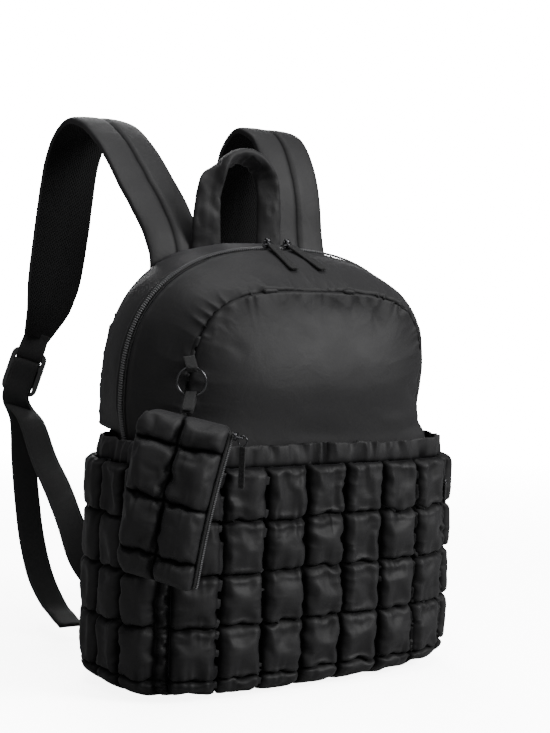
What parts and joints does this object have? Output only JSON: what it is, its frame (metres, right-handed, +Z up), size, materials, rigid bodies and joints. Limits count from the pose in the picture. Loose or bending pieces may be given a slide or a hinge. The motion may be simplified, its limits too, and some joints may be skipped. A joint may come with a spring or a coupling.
{
  "type": "quilted puffer backpack",
  "caption": "Small quilted puffer backpack with an arched zip top, open side pockets, padded shoulder straps, a grab handle and a quilted pouch on a ring.",
  "frame": {"origin": "centre of the flat base, on the surface the bag stands on", "axes": "+Z up, the quilted front faces -Y, the straps are toward +Y, +X is to the right seen from the front"},
  "size_m": [0.3709, 0.4096, 0.5057],
  "materials": {
    "satin_nylon": "soft satin sheen",
    "plain_nylon": "matte",
    "black_mesh": "matte spacer mesh",
    "black_webbing": "matte ribbed",
    "zip_coil": "matte coil",
    "black_plastic": "fine grain",
    "gunmetal": "polished dark plating"
  },
  "bodies": {
    "bag": {"back_panel": "black_mesh", "base_panel": "plain_nylon", "buckle_left": "black_plastic", "buckle_right": "black_plastic", "front_band": "satin_nylon", "front_panel": "satin_nylon", "front_quilt": "satin_nylon", "grab_handle": "satin_nylon", "gusset_back": "satin_nylon", "gusset_front": "satin_nylon", "main_slider_1": "gunmetal", "main_slider_2": "gunmetal", "main_zip": "zip_coil", "pad_loop_left": "black_webbing", "pad_loop_right": "black_webbing", "pouch_back": "satin_nylon", "pouch_front": "satin_nylon", "pouch_slider": "gunmetal", "pouch_tab": "black_webbing", "pouch_zip": "zip_coil", "ring": "gunmetal", "ring_tab": "black_webbing", "side_band_left": "satin_nylon", "side_band_right": "satin_nylon", "side_pull": "black_webbing", "side_quilt_left": "satin_nylon", "side_quilt_right": "satin_nylon", "strap_pad_left": "satin_nylon", "strap_pad_right": "satin_nylon", "webbing_left": "black_webbing", "webbing_right": "black_webbing"},
    "main_pull_1": {"main_pull_1": "black_webbing"},
    "main_pull_2": {"main_pull_2": "black_webbing"},
    "pouch_pull": {"pouch_pull": "black_webbing"}
  },
  "joints": [
    {"name": "main_pull_1_flip", "type": "hinge", "parent": "bag", "child": "main_pull_1", "pos_m": [-0.016, 0.001, 0.3865], "axis": [-1, 0, 0], "range_deg": [0, 190]},
    {"name": "main_pull_2_flip", "type": "hinge", "parent": "bag", "child": "main_pull_2", "pos_m": [0.005, 0.001, 0.3865], "axis": [-1, 0, 0], "range_deg": [0, 190]},
    {"name": "pouch_pull_swing", "type": "hinge", "parent": "bag", "child": "pouch_pull", "pos_m": [-0.11442, -0.1186, 0.22623], "axis": [-0.7878, -0.6159, 0], "range_deg": [0, 120]}
  ]
}
